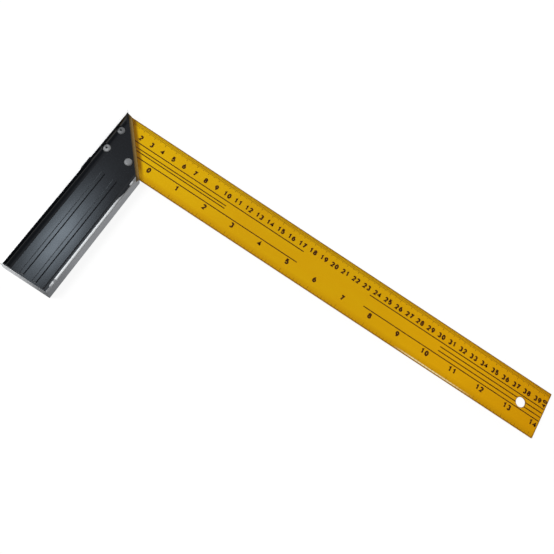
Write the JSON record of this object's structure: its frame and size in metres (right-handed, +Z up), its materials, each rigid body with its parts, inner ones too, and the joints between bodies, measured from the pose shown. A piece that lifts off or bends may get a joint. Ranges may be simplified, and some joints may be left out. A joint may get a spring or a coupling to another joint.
{
  "type": "carpenter square",
  "caption": "L-shaped carpenter's try square: a flat printed steel blade riveted at a right angle into the slotted, mitred head of a recessed aluminium stock, with a hanging hole near the tip.",
  "frame": {"origin": "centre of the bounding box's underside, on the surface that the square lies on", "axes": "+X along the blade to its tip, +Y across the blade from the stock's end to the blade's outer edge, +Z up, square to the blade"},
  "size_m": [0.4, 0.15, 0.016],
  "materials": {
    "stock_aluminium": "cast aluminium, bare and satin on the rims and machined faces, with semi-gloss black paint in the recesses",
    "blade_yellow": "semi-gloss yellow enamel with dark printed scales",
    "rivet_aluminium": "satin aluminium, set cold"
  },
  "bodies": {
    "root": {"stock": "stock_aluminium", "blade": "blade_yellow", "rivet_corner": "rivet_aluminium", "rivet_outer": "rivet_aluminium", "rivet_inner": "rivet_aluminium"}
  },
  "joints": []
}
